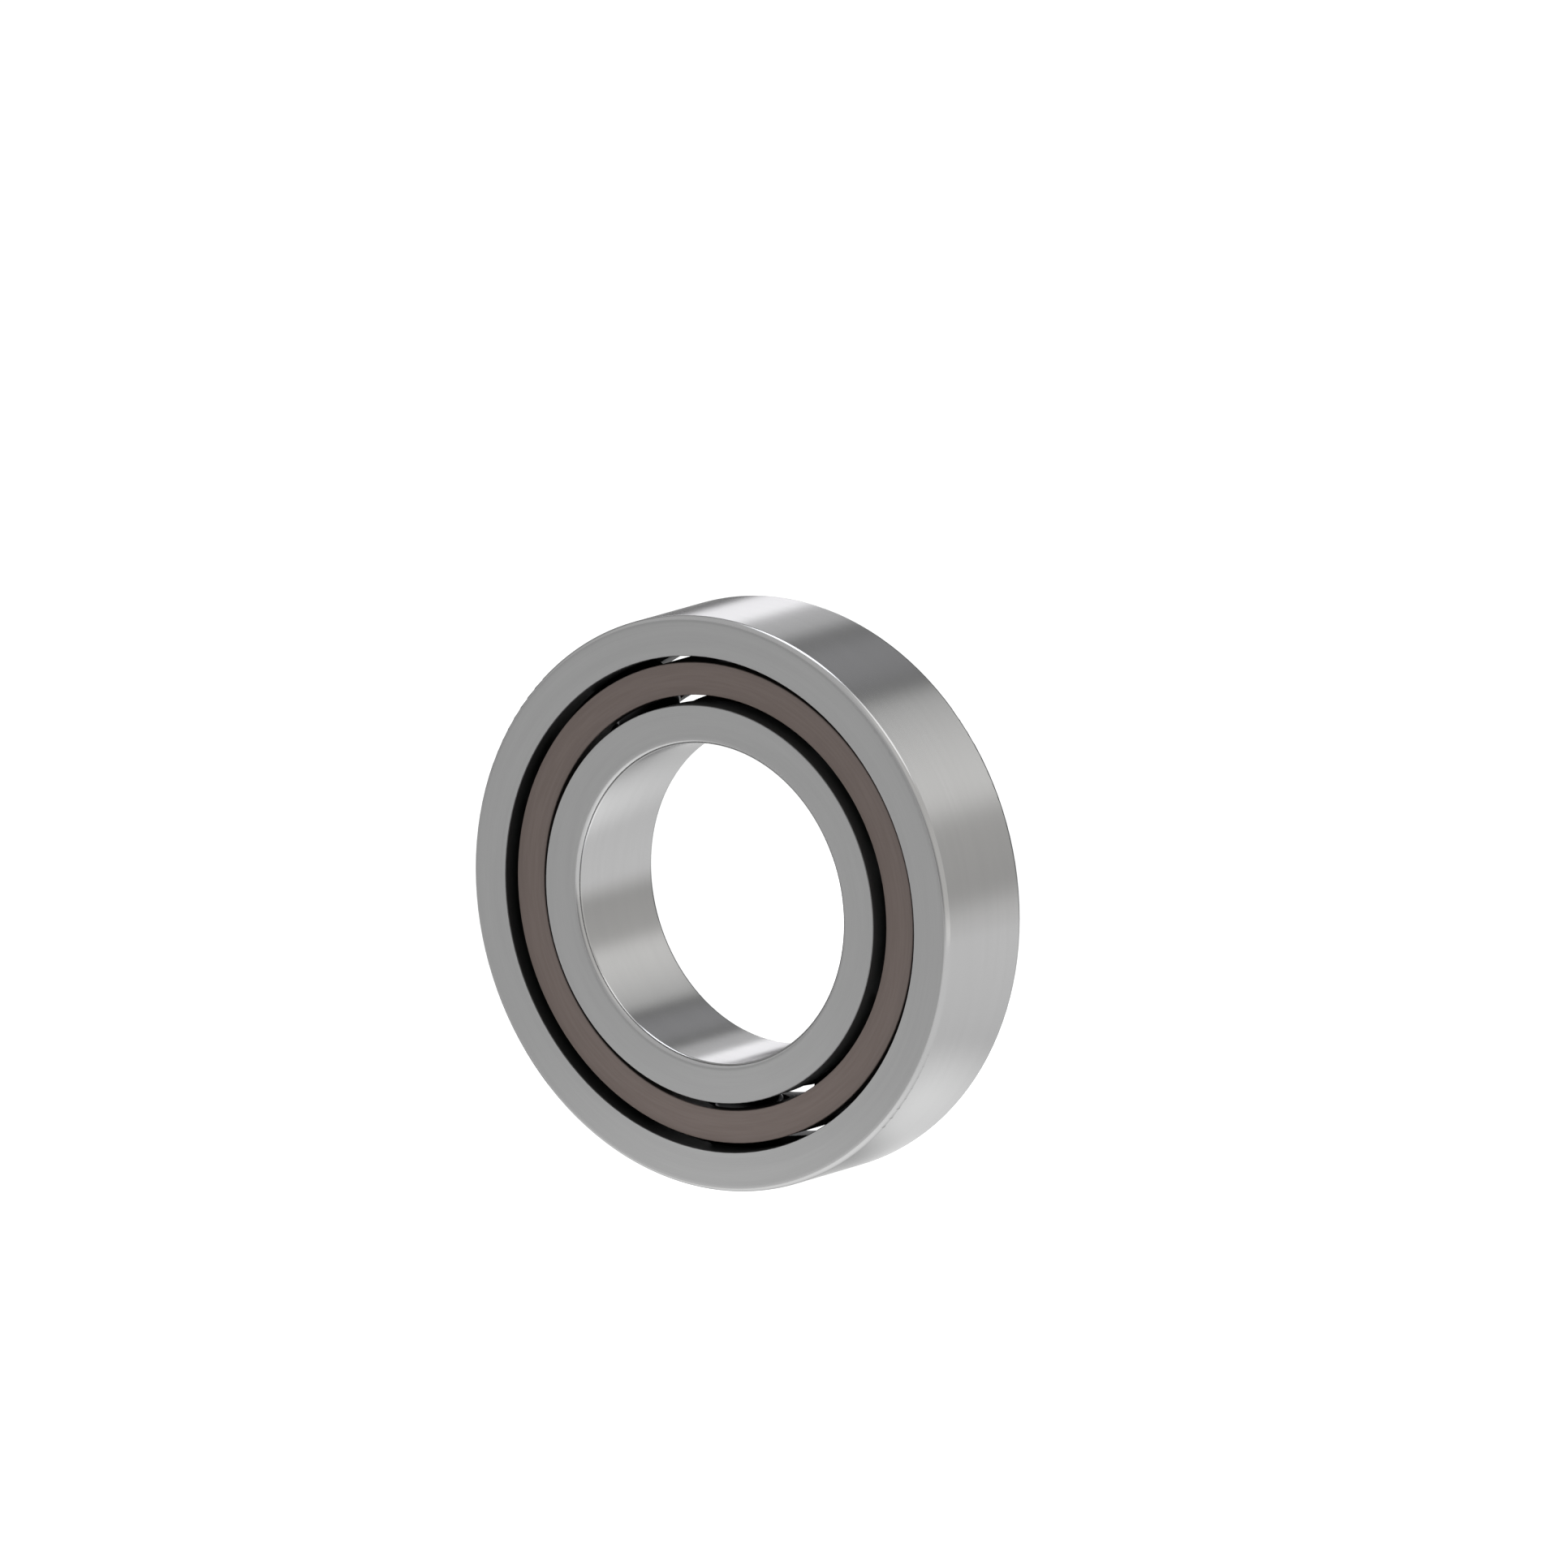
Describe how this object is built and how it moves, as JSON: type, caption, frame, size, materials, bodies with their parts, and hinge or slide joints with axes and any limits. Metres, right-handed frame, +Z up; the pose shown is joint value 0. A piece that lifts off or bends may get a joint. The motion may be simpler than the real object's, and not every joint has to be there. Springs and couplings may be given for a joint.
{
  "type": "angular contact bearing",
  "caption": "Open single-row angular contact ball bearing: ground steel inner and outer rings, with balls between them in a machined window cage.",
  "frame": {"origin": "centre of the bearing, on its axis and midway between its two side faces", "axes": "+Y along the bearing's axis, from the front face to the back face; +Z up with the bearing standing on its rim"},
  "size_m": [0.09, 0.02, 0.09],
  "materials": {
    "ring_steel": "ground bearing steel",
    "ball_steel": "lapped and polished bearing steel",
    "phenolic": "machined fabric-reinforced phenolic resin"
  },
  "bodies": {
    "outer_ring": {"outer_ring": "ring_steel"},
    "inner_ring": {"inner_ring": "ring_steel"},
    "cage": {"cage": "phenolic"},
    "ball_01": {"ball_01": "ball_steel"},
    "ball_02": {"ball_02": "ball_steel"},
    "ball_03": {"ball_03": "ball_steel"},
    "ball_04": {"ball_04": "ball_steel"},
    "ball_05": {"ball_05": "ball_steel"},
    "ball_06": {"ball_06": "ball_steel"},
    "ball_07": {"ball_07": "ball_steel"},
    "ball_08": {"ball_08": "ball_steel"},
    "ball_09": {"ball_09": "ball_steel"},
    "ball_10": {"ball_10": "ball_steel"}
  },
  "joints": [
    {"name": "inner_ring_spin", "type": "hinge", "parent": "outer_ring", "child": "inner_ring", "pos_m": [0, 0, 0], "axis": [0, 1, 0], "continuous": true},
    {"name": "cage_orbit", "type": "hinge", "parent": "outer_ring", "child": "cage", "pos_m": [0, 0, 0], "axis": [0, 1, 0], "continuous": true},
    {"name": "ball_01_spin", "type": "hinge", "parent": "cage", "child": "ball_01", "pos_m": [0.03331, 0, 0.01076], "axis": [-0.4022, 0.9063, -0.1299], "continuous": true},
    {"name": "ball_02_spin", "type": "hinge", "parent": "cage", "child": "ball_02", "pos_m": [0.02062, 0, 0.02828], "axis": [-0.249, 0.9063, -0.3415], "continuous": true},
    {"name": "ball_03_spin", "type": "hinge", "parent": "cage", "child": "ball_03", "pos_m": [0.00006, 0, 0.035], "axis": [-0.0007, 0.9063, -0.4226], "continuous": true},
    {"name": "ball_04_spin", "type": "hinge", "parent": "cage", "child": "ball_04", "pos_m": [-0.02052, 0, 0.02835], "axis": [0.2478, 0.9063, -0.3423], "continuous": true},
    {"name": "ball_05_spin", "type": "hinge", "parent": "cage", "child": "ball_05", "pos_m": [-0.03327, 0, 0.01087], "axis": [0.4017, 0.9063, -0.1313], "continuous": true},
    {"name": "ball_06_spin", "type": "hinge", "parent": "cage", "child": "ball_06", "pos_m": [-0.03331, 0, -0.01076], "axis": [0.4022, 0.9063, 0.1299], "continuous": true},
    {"name": "ball_07_spin", "type": "hinge", "parent": "cage", "child": "ball_07", "pos_m": [-0.02062, 0, -0.02828], "axis": [0.249, 0.9063, 0.3415], "continuous": true},
    {"name": "ball_08_spin", "type": "hinge", "parent": "cage", "child": "ball_08", "pos_m": [-0.00006, 0, -0.035], "axis": [0.0007, 0.9063, 0.4226], "continuous": true},
    {"name": "ball_09_spin", "type": "hinge", "parent": "cage", "child": "ball_09", "pos_m": [0.02052, 0, -0.02835], "axis": [-0.2478, 0.9063, 0.3423], "continuous": true},
    {"name": "ball_10_spin", "type": "hinge", "parent": "cage", "child": "ball_10", "pos_m": [0.03327, 0, -0.01087], "axis": [-0.4017, 0.9063, 0.1313], "continuous": true}
  ],
  "couplings": [
    {"joint": "cage_orbit", "follows": "inner_ring_spin", "ratio": 0.41779},
    {"joint": "ball_01_spin", "follows": "inner_ring_spin", "ratio": -2.6814},
    {"joint": "ball_02_spin", "follows": "inner_ring_spin", "ratio": -2.6814},
    {"joint": "ball_03_spin", "follows": "inner_ring_spin", "ratio": -2.6814},
    {"joint": "ball_04_spin", "follows": "inner_ring_spin", "ratio": -2.6814},
    {"joint": "ball_05_spin", "follows": "inner_ring_spin", "ratio": -2.6814},
    {"joint": "ball_06_spin", "follows": "inner_ring_spin", "ratio": -2.6814},
    {"joint": "ball_07_spin", "follows": "inner_ring_spin", "ratio": -2.6814},
    {"joint": "ball_08_spin", "follows": "inner_ring_spin", "ratio": -2.6814},
    {"joint": "ball_09_spin", "follows": "inner_ring_spin", "ratio": -2.6814},
    {"joint": "ball_10_spin", "follows": "inner_ring_spin", "ratio": -2.6814}
  ]
}
